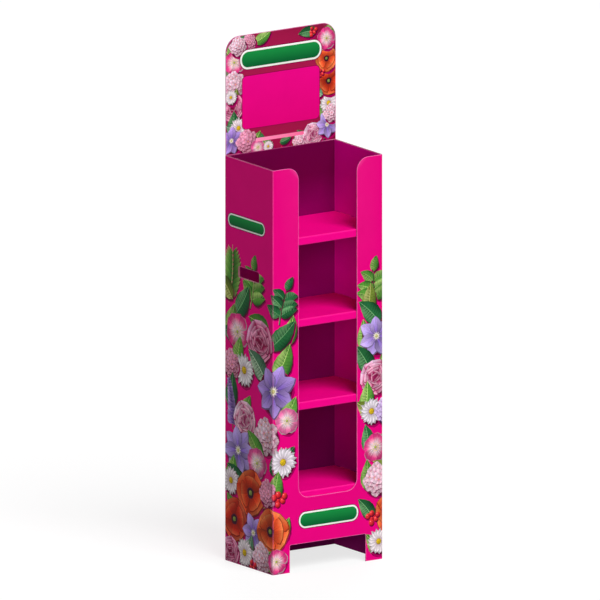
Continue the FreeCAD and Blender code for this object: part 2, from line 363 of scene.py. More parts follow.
def new_group(name, inputs, outputs):
    """An empty node group with named sockets, and its two end nodes."""
    tree = bpy.data.node_groups.new(name, "ShaderNodeTree")
    for label, kind, value in inputs:
        socket = tree.interface.new_socket(label, in_out="INPUT", socket_type=kind)
        if value is not None:
            socket.default_value = value
    for label, kind in outputs:
        tree.interface.new_socket(label, in_out="OUTPUT", socket_type=kind)
    return tree, tree.nodes.new("NodeGroupInput").outputs, tree.nodes.new("NodeGroupOutput")


def make_washboard():
    """The faint ribs that the fluting presses into the flat paper."""
    tree, given, result = new_group(
        "washboard", [("Sheet", "NodeSocketVector", None), ("Pitch", "NodeSocketFloat", FLUTE_PITCH)],
        [("Height", "NodeSocketFloat")])
    u = node(tree, "ShaderNodeSeparateXYZ", {0: given["Sheet"]}).outputs[0]
    turns = sum_of(tree, "DIVIDE", sum_of(tree, "MULTIPLY", u, 2 * math.pi), given["Pitch"])
    ribs = sum_of(tree, "MULTIPLY", sum_of(tree, "SINE", turns), 0.5)
    unevenness = node(tree, "ShaderNodeTexNoise", {"Vector": given["Sheet"], "Scale": 0.02, "Detail": 2.0})
    waves = sum_of(tree, "MULTIPLY", unevenness.outputs["Fac"], 6.0)
    tree.links.new(sum_of(tree, "ADD", ribs, waves), result.inputs["Height"])
    return tree


def make_ink():
    """Ink on coated paper: a fine mottle all over, and a coarser one where pictures are printed."""
    tree, given, result = new_group(
        "ink_on_paper",
        [("Ink", "NodeSocketColor", None), ("Picture", "NodeSocketFloat", 0.0),
         ("Sheet", "NodeSocketVector", None)],
        [("Color", "NodeSocketColor")])
    fine = node(tree, "ShaderNodeTexNoise", {"Vector": given["Sheet"], "Scale": 0.9, "Detail": 3.0})
    broad = node(tree, "ShaderNodeTexNoise", {"Vector": given["Sheet"], "Scale": 0.18, "Detail": 5.0})
    slow = node(tree, "ShaderNodeTexNoise", {"Vector": given["Sheet"], "Scale": 0.012, "Detail": 2.0})
    mottle = sum_of(tree, "MULTIPLY_ADD", fine.outputs["Fac"], 0.10, 0.95)
    mottle = sum_of(tree, "MULTIPLY", mottle, sum_of(tree, "MULTIPLY_ADD", slow.outputs["Fac"], 0.10, 0.95))
    swing = sum_of(tree, "MULTIPLY", sum_of(tree, "SUBTRACT", broad.outputs["Fac"], 0.5), 0.55)
    picture = sum_of(tree, "MULTIPLY_ADD", swing, given["Picture"], 1.0)
    value = sum_of(tree, "MULTIPLY", mottle, picture)
    brightened = node(tree, "ShaderNodeVectorMath", {0: given["Ink"], "Scale": value}, operation="SCALE")
    tree.links.new(brightened.outputs[0], result.inputs["Color"])
    return tree


def make_worn_and_lit_edges():
    """Ink worn thin along cut edges and folds, where the pale paper shows through. The pale band also stands
    in for the light that rounded edges and fold crests catch, so it is partly painted highlight.
    """
    tree, given, result = new_group(
        "worn_and_highlighted_edges",
        [("Color", "NodeSocketColor", None), ("Paper", "NodeSocketColor", None),
         ("Wear", "NodeSocketVector", None), ("Sheet", "NodeSocketVector", None),
         ("Edges", "NodeSocketFloat", 0.7), ("Folds", "NodeSocketFloat", 0.3)],
        [("Color", "NodeSocketColor"), ("Mask", "NodeSocketFloat")])
    parts = node(tree, "ShaderNodeSeparateXYZ", {0: given["Wear"]}).outputs
    speckle = node(tree, "ShaderNodeTexNoise", {"Vector": given["Sheet"], "Scale": 0.35, "Detail": 4.0})
    patches = node(tree, "ShaderNodeTexNoise", {"Vector": given["Sheet"], "Scale": 0.03, "Detail": 3.0})
    uneven = sum_of(tree, "MULTIPLY_ADD", patches.outputs["Fac"], 1.2, 0.4)
    edge = sum_of(tree, "MULTIPLY", sum_of(tree, "POWER", parts[0], 0.6), given["Edges"])
    crack = sum_of(tree, "MULTIPLY_ADD", speckle.outputs["Fac"], 2.4, -0.7, clamp=True)
    fold = sum_of(tree, "MULTIPLY", sum_of(tree, "MULTIPLY", parts[1], crack), given["Folds"])
    mask = sum_of(tree, "MULTIPLY", sum_of(tree, "MAXIMUM", edge, fold), uneven, clamp=True)
    tree.links.new(blend(tree, mask, given["Color"], given["Paper"]), result.inputs["Color"])
    tree.links.new(mask, result.inputs["Mask"])
    return tree


def make_fibres():
    """Uncoated paper: long fibres, specks and clouds of pulp."""
    tree, given, result = new_group(
        "paper_fibres",
        [("Color", "NodeSocketColor", None), ("Speck", "NodeSocketColor", None),
         ("Sheet", "NodeSocketVector", None)],
        [("Color", "NodeSocketColor"), ("Height", "NodeSocketFloat")])
    stretched = node(tree, "ShaderNodeMapping", {"Vector": given["Sheet"], "Scale": (1.0, 0.25, 1.0)})
    fibres = node(tree, "ShaderNodeTexNoise",
                  {"Vector": stretched.outputs[0], "Scale": 0.8, "Detail": 6.0, "Distortion": 1.5})
    clouds = node(tree, "ShaderNodeTexNoise", {"Vector": given["Sheet"], "Scale": 0.05, "Detail": 3.0})
    share = sum_of(tree, "MULTIPLY_ADD", fibres.outputs["Fac"], 2.2, -0.9, clamp=True)
    cloudy = sum_of(tree, "MULTIPLY_ADD", clouds.outputs["Fac"], 0.7, 0.0, clamp=True)
    share = sum_of(tree, "MULTIPLY", share, cloudy, clamp=True)
    tree.links.new(blend(tree, share, given["Color"], given["Speck"]), result.inputs["Color"])
    tree.links.new(fibres.outputs["Fac"], result.inputs["Height"])
    return tree


def opaque(ink):
    return linear(ink) + [1.0]


WASHBOARD = make_washboard()
INK = make_ink()
WORN_AND_LIT_EDGES = make_worn_and_lit_edges()
FIBRES = make_fibres()
# Pale ink for worn edges and folds, which also serves as a painted highlight along them
WORN_INK_AND_HIGHLIGHT = opaque((255, 126, 198))


def placed(tree, group, **inputs):
    """A node group put in a material with its own values, and what it gives."""
    return node(tree, "ShaderNodeGroup", inputs, node_tree=group).outputs


def begin_material(name):
    """An empty node material with its output, and the sheet's own coordinates."""
    material = bpy.data.materials.new(name)
    material.use_nodes = True
    tree = material.node_tree
    tree.nodes.clear()
    shader = tree.nodes.new("ShaderNodeBsdfPrincipled")
    ending = tree.nodes.new("ShaderNodeOutputMaterial")
    tree.links.new(shader.outputs[0], ending.inputs["Surface"])
    sheet = node(tree, "ShaderNodeAttribute", attribute_name="sheet").outputs["Vector"]
    return material, tree, shader, sheet


def printed_board(name, edges, folds):
    """White-lined board with a satin print, and pale worn edges and folds that are partly painted highlight.
    """
    material, tree, shader, sheet = begin_material(name)
    ink = node(tree, "ShaderNodeAttribute", attribute_name="print")
    wear_and_highlight = node(tree, "ShaderNodeAttribute", attribute_name="wear_and_highlight").outputs["Vector"]
    inked = placed(tree, INK, Ink=ink.outputs["Color"], Picture=ink.outputs["Alpha"], Sheet=sheet)
    # Worn pale edges and folds, partly a painted highlight for the light that rounded edges catch
    worn_and_lit = placed(tree, WORN_AND_LIT_EDGES, Color=inked["Color"], Paper=WORN_INK_AND_HIGHLIGHT, Wear=wear_and_highlight, Sheet=sheet,
                    Edges=edges, Folds=folds)
    ribs = placed(tree, WASHBOARD, Sheet=sheet)["Height"]
    bump = node(tree, "ShaderNodeBump", {"Height": ribs, "Distance": 0.00006, "Strength": 0.5})
    tree.links.new(worn_and_lit["Color"], shader.inputs["Base Color"])
    roughness = sum_of(tree, "MULTIPLY_ADD", worn_and_lit["Mask"], 0.3, 0.46, clamp=True)
    tree.links.new(roughness, shader.inputs["Roughness"])
    tree.links.new(bump.outputs[0], shader.inputs["Normal"])
    shader.inputs["Specular IOR Level"].default_value = 0.04
    return material


def bare_board(name):
    """The sheet's unprinted side, pale recycled paper."""
    material, tree, shader, sheet = begin_material(name)
    paper = placed(tree, FIBRES, Color=opaque((222, 205, 184)), Speck=opaque((168, 140, 112)), Sheet=sheet)
    ribs = placed(tree, WASHBOARD, Sheet=sheet)["Height"]
    height = sum_of(tree, "MULTIPLY_ADD", paper["Height"], 0.6, ribs)
    bump = node(tree, "ShaderNodeBump", {"Height": height, "Distance": 0.0001, "Strength": 0.6})
    tree.links.new(paper["Color"], shader.inputs["Base Color"])
    tree.links.new(bump.outputs[0], shader.inputs["Normal"])
    shader.inputs["Roughness"].default_value = 0.85
    shader.inputs["Specular IOR Level"].default_value = 0.15
    return material


def cut_board(name):
    """A cut through the board: two liner papers with the wave of the fluting between them, and the hollows
    between painted dark as shade.
    """
    material, tree, shader, sheet = begin_material(name)
    parts = node(tree, "ShaderNodeSeparateXYZ", {0: sheet}).outputs
    wave = sum_of(tree, "SINE", sum_of(tree, "MULTIPLY", parts[0], 2 * math.pi / FLUTE_PITCH))
    flute = sum_of(tree, "MULTIPLY_ADD", wave, 1.05, BOARD / 2)
    off_flute = sum_of(tree, "ABSOLUTE", sum_of(tree, "SUBTRACT", parts[2], flute))
    on_flute = sum_of(tree, "LESS_THAN", off_flute, 0.32)
    off_middle = sum_of(tree, "ABSOLUTE", sum_of(tree, "SUBTRACT", parts[2], BOARD / 2))
    on_liner = sum_of(tree, "GREATER_THAN", off_middle, 1.1)
    paper_share = sum_of(tree, "MAXIMUM", on_flute, on_liner)
    paper = placed(tree, FIBRES, Color=opaque((226, 84, 152)), Speck=opaque((184, 44, 112)), Sheet=sheet)
    # The hollows between liners and fluting get a dark ink: painted shade
    cut = blend(tree, paper_share, opaque((112, 16, 66)), paper["Color"])
    tree.links.new(cut, shader.inputs["Base Color"])
    shader.inputs["Roughness"].default_value = 0.9
    shader.inputs["Specular IOR Level"].default_value = 0.1
    return material


WRAP_PRINT = printed_board("satin_print_on_wrap", 0.95, 0.3)
BARE_BOARD = bare_board("unprinted_board")
CUT_EDGE = cut_board("cut_board_edge")

# The garden printed on the wrap: leaves, ferns, roses, poppies, clematis, daisies and blossoms, drawn
# as flat shapes of ink in the sheet's own millimetres

chance = random.Random(11)
SHADOW = (88, 2, 48)
HALO = (164, 2, 88)
FRESH = ((30, 84, 34), (86, 146, 56), (176, 206, 116))
DEEP = ((12, 48, 30), (38, 104, 58), (112, 170, 112))
GREY = ((36, 76, 58), (92, 138, 106), (188, 212, 180))
OLIVE = ((54, 72, 26), (118, 138, 52), (206, 208, 128))


def lit(ink, amount):
    return tuple(min(255, max(0, c * amount)) for c in ink)


def paint(art, outline, origin, reach, *inks, picture=1.0):
    """Adds a shape whose inks change from its origin along reach, or outwards up to a number."""
    if not isinstance(reach, (int, float)):
        reach = np.array(reach, dtype=float)
    stops = np.array([linear(ink) + [picture] for ink in inks])
    art.append((np.array(outline, dtype=float), np.array(origin, dtype=float), reach, stops))


def flat(art, outline, ink):
    paint(art, outline, outline[0], (1.0, 0.0), ink, ink)


def off(u, v, far, angle):
    """The point at a distance and an angle from another."""
    return (u + far * math.cos(angle), v + far * math.sin(angle))


def ring_line(u, v, radius, count, wobble=0.0, phase=0.0):
    line = []
    for i in range(count):
        angle = 2 * math.pi * i / count + phase
        far = radius * (1 + wobble * math.sin(5 * angle + phase * 5) + wobble * math.sin(3 * angle))
        line.append(off(u, v, far, angle))
    return line


def under(art, u, v, radius, count=18):
    """The soft shadow that a flower throws on what is printed below it."""
    flat(art, ring_line(u + 5, v - 9, radius * 1.03, count, 0.03, 0.3), HALO)
    flat(art, ring_line(u + 3, v - 5, radius * 0.97, count, 0.03, 0.1), SHADOW)


def blade(u, v, angle, length, width, bend=0.0, belly=0.42, fullness=1.0, steps=8, ripple=0.0):
    """A leaf or petal from its foot: the points of its rib and of its two edges."""
    power = math.log(0.5) / math.log(belly)
    lines = ([], [], [])
    for i in range(steps + 1):
        t = i / steps
        slope = math.atan(2 * bend * t)
        half = width / 2 * max(math.sin(math.pi * t ** power), 0.0) ** fullness
        half *= 1 + ripple * (1 if i % 2 else -1)
        for line, side in zip(lines, (0, half, -half)):
            x = length * t - side * math.sin(slope)
            y = bend * length * t * t + side * math.cos(slope)
            line.append((u + x * math.cos(angle) - y * math.sin(angle),
                         v + x * math.sin(angle) + y * math.cos(angle)))
    return lines


def closed(low, high):
    """The outline between a lower and an upper edge that share both ends."""
    return low + high[-2:0:-1]


def moved(line, u, v):
    return [(p[0] + u, p[1] + v) for p in line]


def away(first, second):
    return (second[0] - first[0], second[1] - first[1])


def between(first, second, share):
    return (first[0] + (second[0] - first[0]) * share, first[1] + (second[1] - first[1]) * share)


def stem(art, points, width, dark, light):
    """A stalk through the points, thinner towards its end."""
    left, right = [], []
    for i, point in enumerate(points):
        run = Vector(away(points[max(i - 1, 0)], points[min(i + 1, len(points) - 1)])).normalized()
        half = width / 2 * (1 - 0.6 * i / (len(points) - 1))
        left.append((point[0] - run.y * half, point[1] + run.x * half))
        right.append((point[0] + run.y * half, point[1] - run.x * half))
    start = left[0]
    paint(art, right + left[::-1], start, away(start, right[0]), light, dark)


def leaf(art, u, v, degrees, length, width, greens=FRESH, bend=0.18, steps=12):
    """A broad leaf, lit on one side of its midrib, with a sheen between its pale veins."""
    angle = math.radians(degrees)
    dark, middle, light = (lit(ink, chance.uniform(0.84, 1.1)) for ink in greens)
    rib, upper, lower = blade(u, v, angle, length, width, bend, 0.4, 0.9, steps, 0.03)
    flat(art, moved(closed(lower, upper), 5, -9), HALO)
    flat(art, moved(closed(lower, upper), 3, -5), SHADOW)
    centre = rib[steps // 2]
    paint(art, closed(lower, rib), centre, away(centre, lower[steps // 2]), lit(middle, 0.9), middle, dark)
    paint(art, closed(rib, upper), centre, away(centre, upper[steps // 2]), dark, middle, light, middle)
    vein = lit(light, 1.1)
    for i in range(1, steps - 1):
        halves = ((upper, vein, lit(light, 1.04)), (lower, lit(middle, 1.25), lit(middle, 1.12)))
        for edge, ink, sheen in halves:
            tip = between(rib[i + 1], edge[i + 1], 0.9)
            if i < steps - 3:
                low, high = between(rib[i], rib[i + 1], 0.35), between(rib[i], rib[i + 1], 0.8)
                inner = between(rib[i + 1], rib[i + 2], 0.5)
                far = between(inner, between(edge[i + 1], edge[i + 2], 0.5), 0.7)
                gloss = [low, high, far] if edge is upper else [high, low, far]
                paint(art, gloss[::-1], low, away(low, far), middle, sheen)
            run = Vector(away(rib[i], rib[i + 1])).normalized() * (0.3 + 0.006 * length)
            foot = [(rib[i][0] - run.x, rib[i][1] - run.y), (rib[i][0] + run.x, rib[i][1] + run.y)]
            line = [foot[0], foot[1], tip] if edge is upper else [foot[1], foot[0], tip]
            paint(art, line, rib[i], away(rib[i], tip), ink, lit(ink, 0.85))
    stem(art, rib, 0.028 * length, middle, vein)


def sprig(art, u, v, degrees, length, size, greens=FRESH, pairs=4, bend=0.15):
    """A twig with leaves in pairs and one at its end."""
    angle = math.radians(degrees)
    rib = blade(u, v, angle, length, 1, bend, 0.5, 1.0, pairs + 1)[0]
    for i in range(pairs + 1, 0, -1):
        run = Vector(away(rib[i - 1], rib[i]))
        heading = math.degrees(math.atan2(run.y, run.x))
        long = size * (1.06 - 0.09 * i)
        sides = (52, -56) if i <= pairs else (0,)
        for side in sides:
            tilt = heading + side + chance.uniform(-10, 10)
            leaf(art, *rib[i], tilt, long, long * 0.62, greens, 0.2 if side > 0 else -0.2, 8)
    stem(art, moved(rib, 1.5, -3), 4.5, SHADOW, SHADOW)
    stem(art, rib, 4.5, lit(greens[0], 1.2), greens[2])


def fern(art, u, v, degrees, length, greens=FRESH, bend=0.25, pairs=11):
    """A frond: narrow leaflets in pairs along a bent stalk."""
    angle = math.radians(degrees)
    rib = blade(u, v, angle, length, 1, bend, 0.5, 1.0, pairs + 2)[0]
    for i in range(pairs, 0, -1):
        run = Vector(away(rib[i], rib[i + 1]))
        heading = math.atan2(run.y, run.x)
        size = length * 0.34 * math.sin(math.pi * (0.2 + 0.75 * i / (pairs + 2))) + 4
        for side in (-1, 1):
            way = heading + side * math.radians(52)
            _, upper, lower = blade(rib[i][0], rib[i][1], way, size, size * 0.3, -side * 0.14, 0.4, 1.0, 5)
            tone = chance.uniform(0.9, 1.1) * (1.06 if side > 0 else 0.84)
            flat(art, moved(closed(lower, upper), 2, -4), SHADOW)
            paint(art, closed(lower, upper), rib[i], away(rib[i], lower[-1]),
                  lit(greens[0], tone), lit(greens[1], tone), lit(greens[2], tone))
    stem(art, rib, 0.022 * length, greens[0], greens[2])


def petal(art, u, v, angle, length, width, *inks, belly=0.62, fullness=0.8, bend=0.0, steps=6,
          ripple=0.0, streaks=0, dark=0.0):
    """A petal in two halves, the second in shade, with streaks from its foot and a dark edge below."""
    rib, upper, lower = blade(u, v, angle, length, width, bend, belly, fullness, steps, ripple)
    if dark:
        long, wide = length * (1 + dark), width * (1 + 2 * dark)
        _, high, low = blade(u, v, angle, long, wide, bend, belly, fullness, steps, ripple)
        flat(art, moved(closed(low, high), length * dark * 0.4, -length * dark * 0.7), lit(inks[1], 0.72))
    reach = away(rib[0], rib[-1])
    paint(art, closed(rib, upper), rib[0], reach, *inks)
    paint(art, closed(lower, rib), rib[0], reach, *(lit(ink, 0.88) for ink in inks))
    for k in range(streaks):
        share = (k + 0.5) / streaks * 2 - 1
        way = angle + share * 0.5 * width / length
        start = off(u, v, 0.16 * length, way)
        long = length * (0.62 - 0.12 * abs(share))
        _, side, other = blade(*start, way, long, length * 0.03, bend, 0.4, 1.0, 3)
        ink = lit(inks[0], 0.92 if k % 2 else 1.25)
        paint(art, closed(other, side), start, reach, ink, inks[len(inks) // 2])


def heart(art, u, v, radius, inner, outer, dots=9):
    """A flower's middle, with a ring of stamens."""
    lamp = (u - radius * 0.25, v + radius * 0.3)
    paint(art, ring_line(u, v, radius, 14), lamp, radius * 1.25, inner, outer)
    for i in range(dots):
        angle = 2 * math.pi * i / dots
        far = radius * (0.78 if i % 2 else 0.5)
        spot = off(u, v, far, angle)
        paint(art, ring_line(*spot, radius * 0.15, 5), spot, radius * 0.18, lit(inner, 1.25), inner)


def daisy(art, u, v, radius, foot=(214, 132, 176), tip=(255, 242, 247), middle=(238, 196, 40), count=17):
    """A daisy: two rings of narrow petals round a yellow middle."""
    under(art, u, v, radius * 0.9)
    turn = chance.uniform(0, 1)
    for reach, offset, tone in ((1.0, 0.0, 0.82), (0.86, 0.5, 1.0)):
        for i in range(count):
            angle = 2 * math.pi * (i + offset + turn + chance.uniform(-0.14, 0.14)) / count
            length = radius * reach * chance.uniform(0.92, 1.05)
            petal(art, u, v, angle, length, radius * 0.25, lit(foot, tone * 0.8), lit(tip, tone * 0.94),
                  lit(tip, tone), belly=0.66, fullness=0.7, bend=chance.uniform(-0.08, 0.08), steps=5)
    heart(art, u, v, radius * 0.23, middle, lit(middle, 0.55), 10)


def poppy(art, u, v, radius, foot=(118, 8, 16), tip=(228, 64, 34)):
    """A poppy: broad crinkled petals round a dark middle."""
    under(art, u, v, radius)
    turn = chance.uniform(0, 360)
    for ring, (reach, count) in enumerate(((1.0, 4), (0.76, 3))):
        for i in range(count):
            angle = math.radians(turn + 40 * ring + 360 / count * i)
            tone = chance.uniform(0.86, 1.08)
            bright = tuple(min(255, c + more) for c, more in zip(lit(tip, tone), (22, 62, 40)))
            petal(art, u, v, angle, radius * reach * chance.uniform(0.95, 1.05), radius * reach * 1.52,
                  lit(foot, tone), lit(tip, tone * 0.8), lit(tip, tone), bright, belly=0.66, fullness=0.6,
                  steps=10, ripple=0.035, streaks=5, dark=0.035)
    paint(art, ring_line(u, v, radius * 0.25, 16, 0.05), (u, v), radius * 0.27, (26, 8, 24), (70, 10, 30))
    for i in range(14):
        angle = 2 * math.pi * i / 14 + 0.2
        spot = off(u, v, radius * 0.22, angle)
        flat(art, ring_line(*spot, radius * 0.028, 5), (52, 30, 60))
    heart(art, u, v, radius * 0.12, (150, 168, 84), (60, 78, 36), 8)


def rose(art, u, v, radius, foot=(176, 16, 84), tip=(255, 170, 204)):
    """A full rose: rings of round petals with pale rims, one inside the other."""
    under(art, u, v, radius)
    turn = chance.uniform(0, 6)
    middle = tuple((a + b) / 2 for a, b in zip(foot, tip))
    for ring, (reach, count) in enumerate(((1.0, 5), (0.8, 5), (0.62, 4), (0.45, 3), (0.3, 3), (0.17, 2))):
        tone = 1.0 - 0.03 * ring
        for i in range(count):
            angle = turn + 1.1 * ring + 2 * math.pi * (i + chance.uniform(-0.1, 0.1)) / count
            sunlit = tone * (1 - 0.1 * math.cos(angle + 0.8)) * chance.uniform(0.96, 1.03)
            length = radius * reach * chance.uniform(0.95, 1.04)
            width = 2.5 * length * math.pi / (count + 1.4)
            petal(art, u, v, angle, length, width, *[lit(foot, 0.85 * tone)] * 5, lit(foot, tone),
                  lit(middle, tone), lit(tip, sunlit), lit(tip, sunlit * 1.03), belly=0.76, fullness=0.5,
                  steps=9, dark=0.03)
    flat(art, ring_line(u, v, radius * 0.04, 6), lit(foot, 0.6))


def dog_rose(art, u, v, radius, foot=(255, 216, 228), tip=(224, 60, 132), middle=(244, 206, 70)):
    """A wild rose: five notched petals, pale at the foot, round a crown of stamens."""
    under(art, u, v, radius * 0.92)
    turn = chance.uniform(0, 6)
    for i in (0, 2, 4, 1, 3):
        angle = turn + 2 * math.pi * i / 5
        tone = (1 - 0.08 * math.cos(angle + 0.8)) * chance.uniform(0.94, 1.04)
        length = radius * chance.uniform(0.94, 1.06)
        for side in (-1, 1):
            petal(art, u, v, angle + side * 0.2, length, radius * 0.82, lit(foot, tone),
                  lit(foot, tone * 0.95), lit(tip, tone * 1.08), lit(tip, tone * 0.9), belly=0.7,
                  fullness=0.7, steps=8,
                  ripple=0.02, streaks=2, dark=0.05 if side < 0 else 0.0)
    for i in range(16):
        angle = 2 * math.pi * i / 16
        far = radius * (0.3 if i % 2 else 0.23)
        end = off(u, v, far, angle)
        flat(art, [(u, v), (end[0] + math.sin(angle) * 0.5, end[1] - math.cos(angle) * 0.5),
                   (end[0] - math.sin(angle) * 0.5, end[1] + math.cos(angle) * 0.5)], lit(middle, 0.8))
        flat(art, ring_line(*end, radius * 0.035, 5), middle)
    heart(art, u, v, radius * 0.1, (196, 206, 96), (120, 130, 44), 6)


def clematis(art, u, v, radius, foot=(66, 34, 128), tip=(178, 146, 222), count=7):
    """A clematis: broad pointed petals with paler ribs round a tuft of stamens."""
    under(art, u, v, radius * 0.86)
    turn = chance.uniform(0, 6)
    order = list(range(0, count, 2)) + list(range(1, count, 2))
    for i in order:
        angle = turn + 2 * math.pi * (i + chance.uniform(-0.06, 0.06)) / count
        tone = (1 - 0.1 * math.cos(angle + 0.8)) * chance.uniform(0.9, 1.06)
        length = radius * chance.uniform(0.93, 1.05)
        petal(art, u, v, angle, length, radius * 0.62, lit(foot, tone), lit(tip, tone * 0.8), lit(tip, tone),
              lit(tip, tone * 1.1), belly=0.5, fullness=0.8, bend=chance.uniform(-0.06, 0.06), steps=8,
              ripple=0.04, streaks=3, dark=0.04)
        for k in (-1, 0, 1):
            way = angle + 0.075 * k
            _, side, other = blade(u, v, way, length * 0.9, radius * 0.035, 0.03 * k, 0.5, 1.0, 4)
            paint(art, closed(other, side), (u, v), off(0, 0, length, way),
                  lit(foot, 1.3), lit(tip, 1.12 * tone))
    for i in range(22):
        angle = 2 * math.pi * i / 22
        far = radius * (0.26 if i % 2 else 0.19)
        _, side, other = blade(u, v, angle, far, radius * 0.035, 0.1, 0.6, 1.0, 3)
        paint(art, closed(other, side), (u, v), far, (236, 228, 180), (250, 244, 226), (120, 60, 120))
    heart(art, u, v, radius * 0.08, (232, 226, 150), (150, 150, 80), 5)


def blossom(art, u, v, radius, foot, tip, turn=0.0, eye=(214, 60, 110)):
    """A small five-petalled blossom."""
    for i in range(5):
        angle = turn + 2 * math.pi * i / 5
        petal(art, u, v, angle, radius, radius * 0.95, foot, tip, lit(tip, 1.03), belly=0.68,
              fullness=0.62, steps=5)
    paint(art, ring_line(u, v, radius * 0.16, 6), (u, v), radius * 0.18, (250, 226, 120), eye)


def posy(art, u, v, radius, foot, tip, rows=3, eye=(214, 60, 110)):
    """A head of small blossoms, lit from its upper left."""
    under(art, u, v, radius)
    paint(art, ring_line(u, v, radius * 0.93, 22, 0.04), (u, v), radius, lit(foot, 0.6), lit(foot, 0.4))
    total = int(2.1 * rows * rows) + 2
    spots = [(radius * 0.84 * math.sqrt((i + 0.5) / total), i * 2.39996) for i in range(total)]
    for far, angle in sorted(spots, reverse=True):
        spot = off(u, v, far, angle)
        sunlit = 1 - 0.2 * (far / radius) * math.cos(angle + math.radians(45))
        sunlit *= chance.uniform(0.9, 1.04) - 0.12 * far / radius
        size = radius * 1.1 / rows * chance.uniform(0.84, 1.1)
        flat(art, ring_line(spot[0] + 1, spot[1] - 2, size * 0.95, 10, 0.06), lit(foot, 0.55))
        blossom(art, *spot, size, lit(foot, sunlit), lit(tip, sunlit), chance.uniform(0, 6), eye)


def spike(art, u, v, degrees, length, width, foot=(84, 44, 140), tip=(196, 160, 232), bend=0.1):
    """A spike of violet florets, smaller towards its tip."""
    angle = math.radians(degrees)
    rib = blade(u, v, angle, length, 1, bend, 0.5, 1.0, 16)[0]
    stem(art, rib, 0.03 * length, DEEP[0], DEEP[1])
    for i in range(2, 17):
        run = Vector(away(rib[i - 1], rib[i]))
        heading = math.atan2(run.y, run.x)
        size = width * (0.62 - 0.42 * i / 16)
        for side in (-1, 1, 0):
            way = heading + side * math.radians(64 - i) + chance.uniform(-0.15, 0.15)
            tone = chance.uniform(0.84, 1.14) * (1.1 if side > 0 else 0.9)
            petal(art, *rib[i], way, size * (0.9 if side else 0.6), size * 0.62,
                  lit(foot, tone), lit(tip, tone), belly=0.6, fullness=0.7, steps=4, dark=0.06)


def berries(art, u, v, size, count=6, foot=(132, 8, 26), tip=(236, 52, 58)):
    """A handful of round berries, each with its highlight."""
    for i in range(count):
        far = size * 0.9 * math.sqrt(i / count)
        angle = i * 2.39996 + 1
        spot = off(u, v, far, angle)
        radius = size * chance.uniform(0.34, 0.42)
        flat(art, ring_line(spot[0] + 1.5, spot[1] - 3, radius, 12), SHADOW)
        lamp = (spot[0] - radius * 0.35, spot[1] + radius * 0.4)
        paint(art, ring_line(*spot, radius, 14), lamp, radius * 1.4, lit(tip, 1.15), tip, foot)
        paint(art, ring_line(*lamp, radius * 0.16, 6), lamp, radius * 0.2, (255, 220, 216), (255, 150, 150))


PALE_PINK = ((226, 92, 152), (255, 214, 230))
ROSE_PINK = ((196, 40, 104), (250, 168, 200))
SHELL_PINK = ((214, 78, 138), (255, 206, 224))
WILD_PINK = ((255, 226, 234), (216, 82, 146))
DUSK_BLUE = ((84, 50, 148), (190, 164, 232))
DEEP_BLUE = ((76, 42, 138), (186, 156, 228))
SCARLET = ((112, 6, 18), (216, 50, 34))
ORANGE = ((122, 8, 18), (238, 84, 44))
CREAM_WHITE = ((214, 120, 170), (255, 246, 250))
COOL_WHITE = ((196, 120, 176), (250, 240, 250))


def plate(left, low, right, high, reach=0):
    """The corners of a rectangle, all with one round."""
    return [(left, low, reach), (right, low, reach), (right, high, reach), (left, high, reach)]


def label(art, u, v, width, height, edge=5.0):
    """A blank name plate: a green field with a white edge, nothing written on it."""
    rims = ((edge + 2.5, (128, 2, 66), (128, 2, 66)), (edge, (250, 250, 246), (232, 236, 228)),
            (0.0, (24, 142, 66), (6, 88, 44)))
    for grow, *inks in rims:
        half, tall = width / 2 + grow, height / 2 + grow
        box = plate(u - half, v - tall, u + half, v + tall, tall * 0.96)
        paint(art, cut_line(box), (u, v + tall), (0, -2 * tall), *inks, picture=0.0)


BACK_FLAT = 391.4
SIDE_FLAT = 248.4
FRONT_FLAT = 392.4
RIGHT_FLAT = 245.4
FLAP = 31.2
WRAP = fold_round((195.2, 128.0), 180, BACK_FLAT, SIDE_FLAT, FRONT_FLAT, RIGHT_FLAT, FLAP)
LEFT_FOLD = BACK_FLAT + SIDE_FLAT + 1.5 * FOLD_LENGTH
RIGHT_FOLD = LEFT_FOLD + FRONT_FLAT + FOLD_LENGTH
FRONT_START = LEFT_FOLD + FOLD_LENGTH / 2
WRAP_END = RIGHT_FOLD + RIGHT_FLAT + 1.5 * FOLD_LENGTH + FLAP


def front_u(x):
    """Where a point of the front, x from its middle, lies in the flat sheet."""
    return FRONT_START + FRONT_FLAT / 2 + x


wrap_art = []

